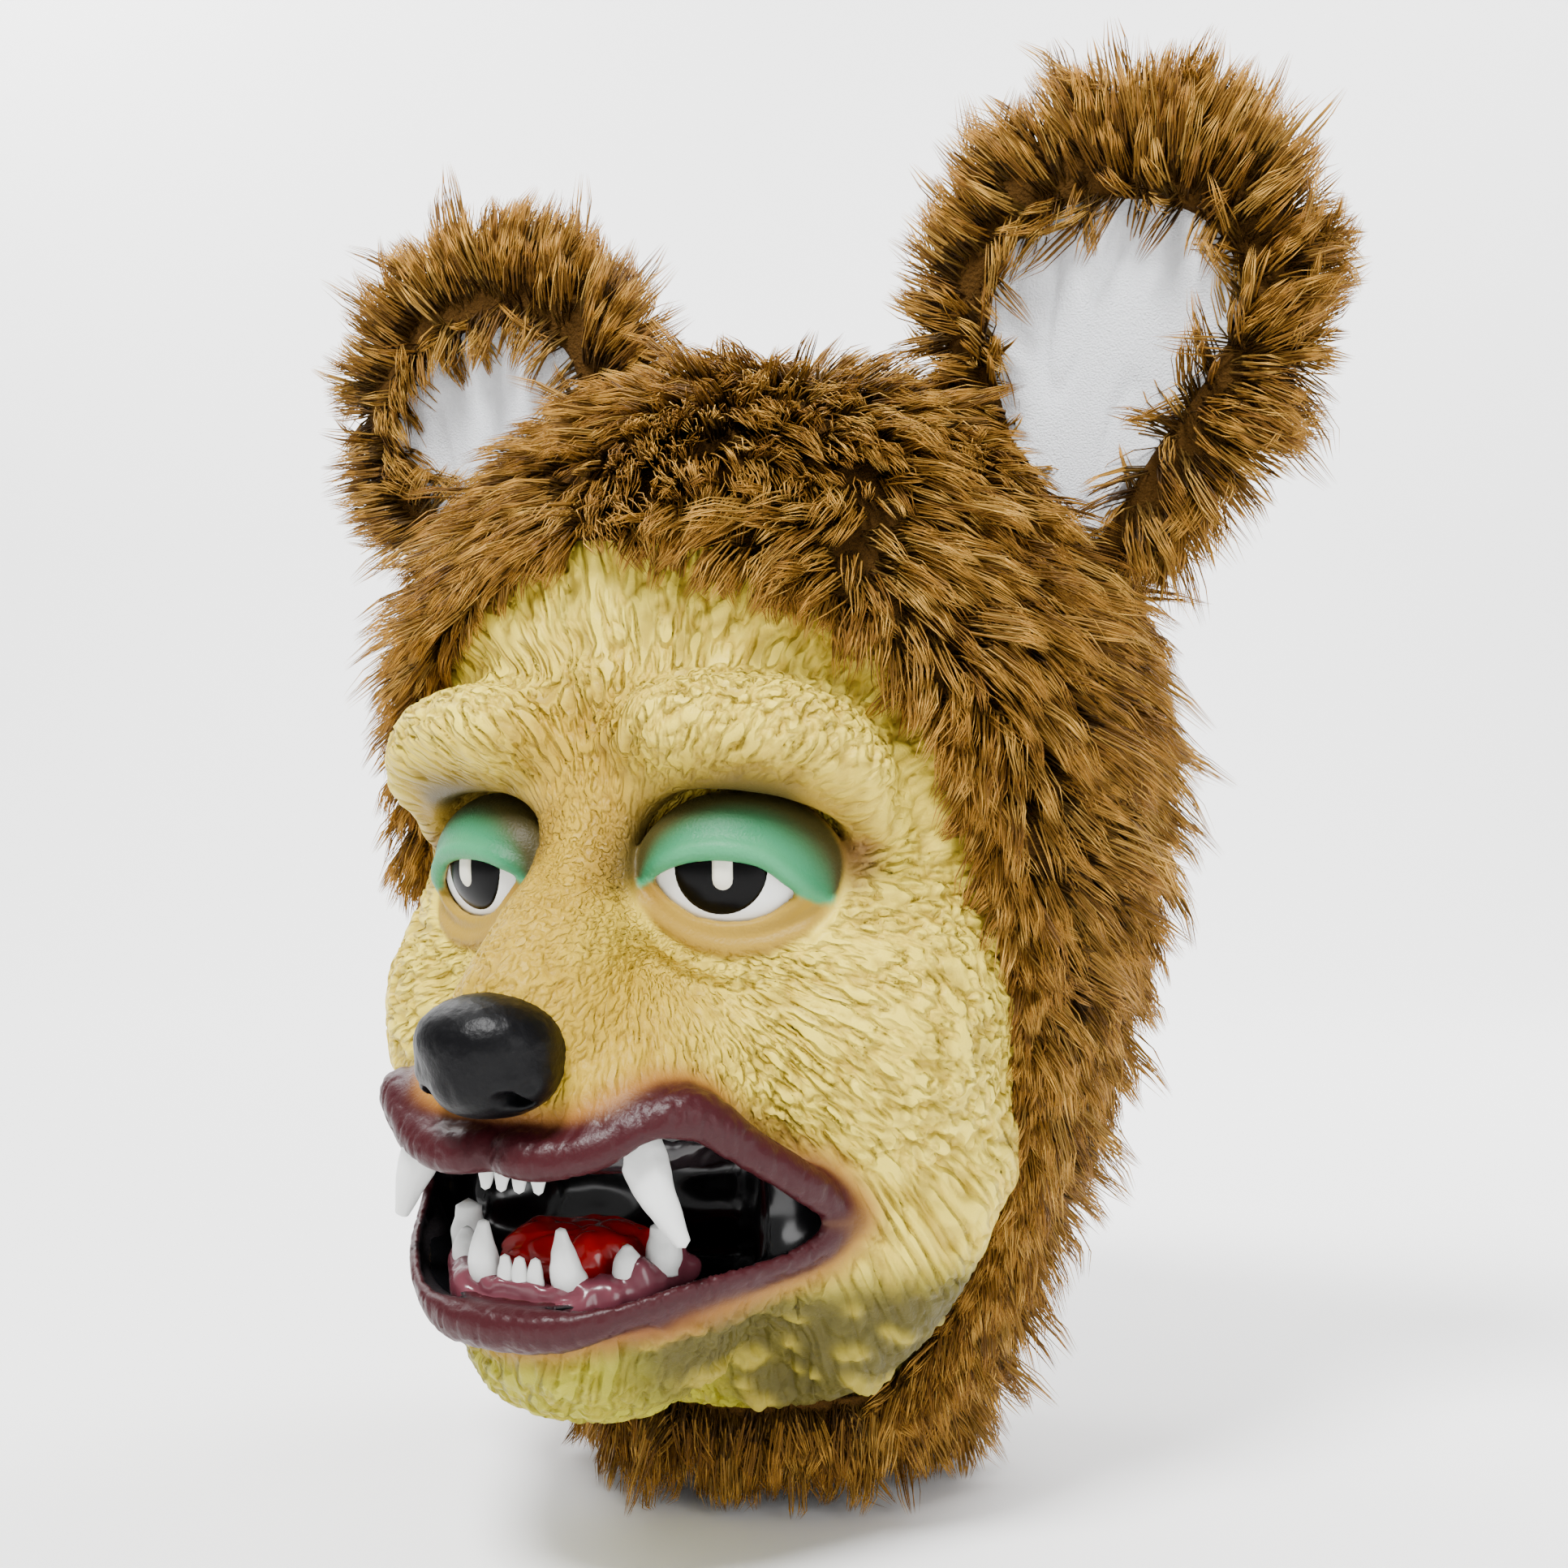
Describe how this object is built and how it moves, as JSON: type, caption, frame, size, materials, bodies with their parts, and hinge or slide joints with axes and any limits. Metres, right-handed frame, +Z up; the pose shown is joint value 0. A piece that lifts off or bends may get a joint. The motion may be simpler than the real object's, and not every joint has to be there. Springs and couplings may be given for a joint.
{
  "type": "animal costume mask",
  "caption": "Over-the-head creature mask: moulded latex snarling animal face set in a long-pile brown faux-fur hood with two upright sewn ears.",
  "frame": {"origin": "centre of the neck opening, at the hood's bottom edge", "axes": "+Z up through the crown, -Y the way the face looks, +X the wearer's left"},
  "size_m": [0.3756, 0.317, 0.4366],
  "materials": {
    "fur": "matte",
    "lining_cloth": "matte",
    "elastic": "matte",
    "white_plush": "matte",
    "foam": "matte",
    "latex_skin": "satin",
    "black_latex": "satin",
    "mouth_black": "gloss",
    "gum_pink": "satin",
    "tongue_red": "gloss",
    "tooth_white": "satin",
    "eye_white": "gloss",
    "iris_black": "gloss",
    "highlight_cream": "satin"
  },
  "bodies": {
    "mask": {"hood_gusset": "fur", "hood_left_panel": "fur", "hood_right_panel": "fur", "hood_lining": "lining_cloth", "neck_casing": "fur", "neck_elastic": "elastic", "face_shell": "latex_skin", "nose": "black_latex", "mouth_pocket": "mouth_black", "upper_gum": "mouth_black", "lower_gum": "gum_pink", "tongue": "tongue_red", "upper_incisors": "tooth_white", "lower_incisors": "tooth_white", "left_eye": "eye_white", "left_iris": "iris_black", "left_highlight": "highlight_cream", "upper_left_fang": "tooth_white", "lower_left_fang": "tooth_white", "lower_left_premolar": "tooth_white", "lower_left_molar": "tooth_white", "left_ear_seam": "fur", "right_eye": "eye_white", "right_iris": "iris_black", "right_highlight": "highlight_cream", "upper_right_fang": "tooth_white", "lower_right_fang": "tooth_white", "lower_right_premolar": "tooth_white", "lower_right_molar": "tooth_white", "right_ear_seam": "fur"},
    "left_ear": {"left_ear_back": "fur", "left_ear_front_rim": "fur", "left_ear_plush": "white_plush", "left_ear_foam": "foam"},
    "right_ear": {"right_ear_back": "fur", "right_ear_front_rim": "fur", "right_ear_plush": "white_plush", "right_ear_foam": "foam"}
  },
  "joints": [
    {"name": "left_ear_flop", "type": "hinge", "parent": "mask", "child": "left_ear", "pos_m": [0.1005, 0.008, 0.315], "axis": [0.6293, 0, -0.7771], "range_deg": [-20, 20], "stiffness_Nm_per_rad": 0.3},
    {"name": "right_ear_flop", "type": "hinge", "parent": "mask", "child": "right_ear", "pos_m": [-0.1005, 0.008, 0.315], "axis": [-0.6293, 0, -0.7771], "range_deg": [-20, 20], "stiffness_Nm_per_rad": 0.3}
  ]
}
